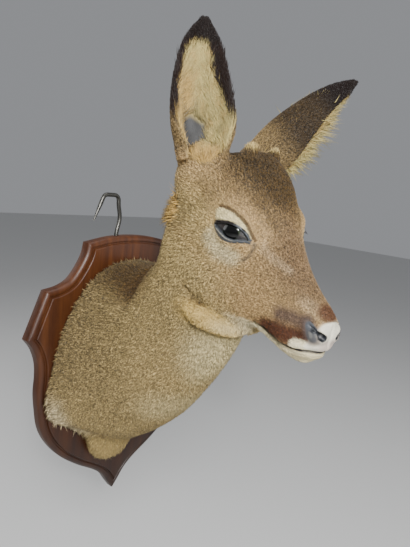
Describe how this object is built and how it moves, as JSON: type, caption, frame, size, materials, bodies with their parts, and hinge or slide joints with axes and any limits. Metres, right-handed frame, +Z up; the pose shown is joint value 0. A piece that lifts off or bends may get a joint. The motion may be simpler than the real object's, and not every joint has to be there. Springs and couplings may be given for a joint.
{
  "type": "roe deer shoulder mount",
  "caption": "Young roe deer head and shoulders with both ears up, turned slightly to its right, on a shield-shaped wooden wall board with a wire hook",
  "frame": {"origin": "on the board's back face, which lies on the wall, in the middle of the board's width and halfway between its top and its lower tip", "axes": "+Z up, +Y into the wall, so the animal faces -Y; +X is the animal's left"},
  "size_m": [0.24, 0.2804, 0.4868],
  "materials": {
    "shoulders": "short grizzled grey-brown hair",
    "neck": "short grizzled buff hair",
    "head": "very short grizzled hair",
    "lower_jaw": "short white hair",
    "nose_pad": "bare pale pad",
    "ear_left": "short hair, woolly cream inside",
    "ear_right": "short hair, woolly cream inside",
    "eye_left": "polished glass eye, modelled opaque",
    "eye_right": "polished glass eye, modelled opaque",
    "board": "red-brown stained, satin varnish",
    "hanger": "dull steel wire"
  },
  "bodies": {
    "root": {"shoulders": "shoulders", "neck": "neck", "head": "head", "lower_jaw": "lower_jaw", "nose_pad": "nose_pad", "ear_left": "ear_left", "ear_right": "ear_right", "eye_left": "eye_left", "eye_right": "eye_right", "board": "board", "hanger": "hanger"}
  },
  "joints": []
}
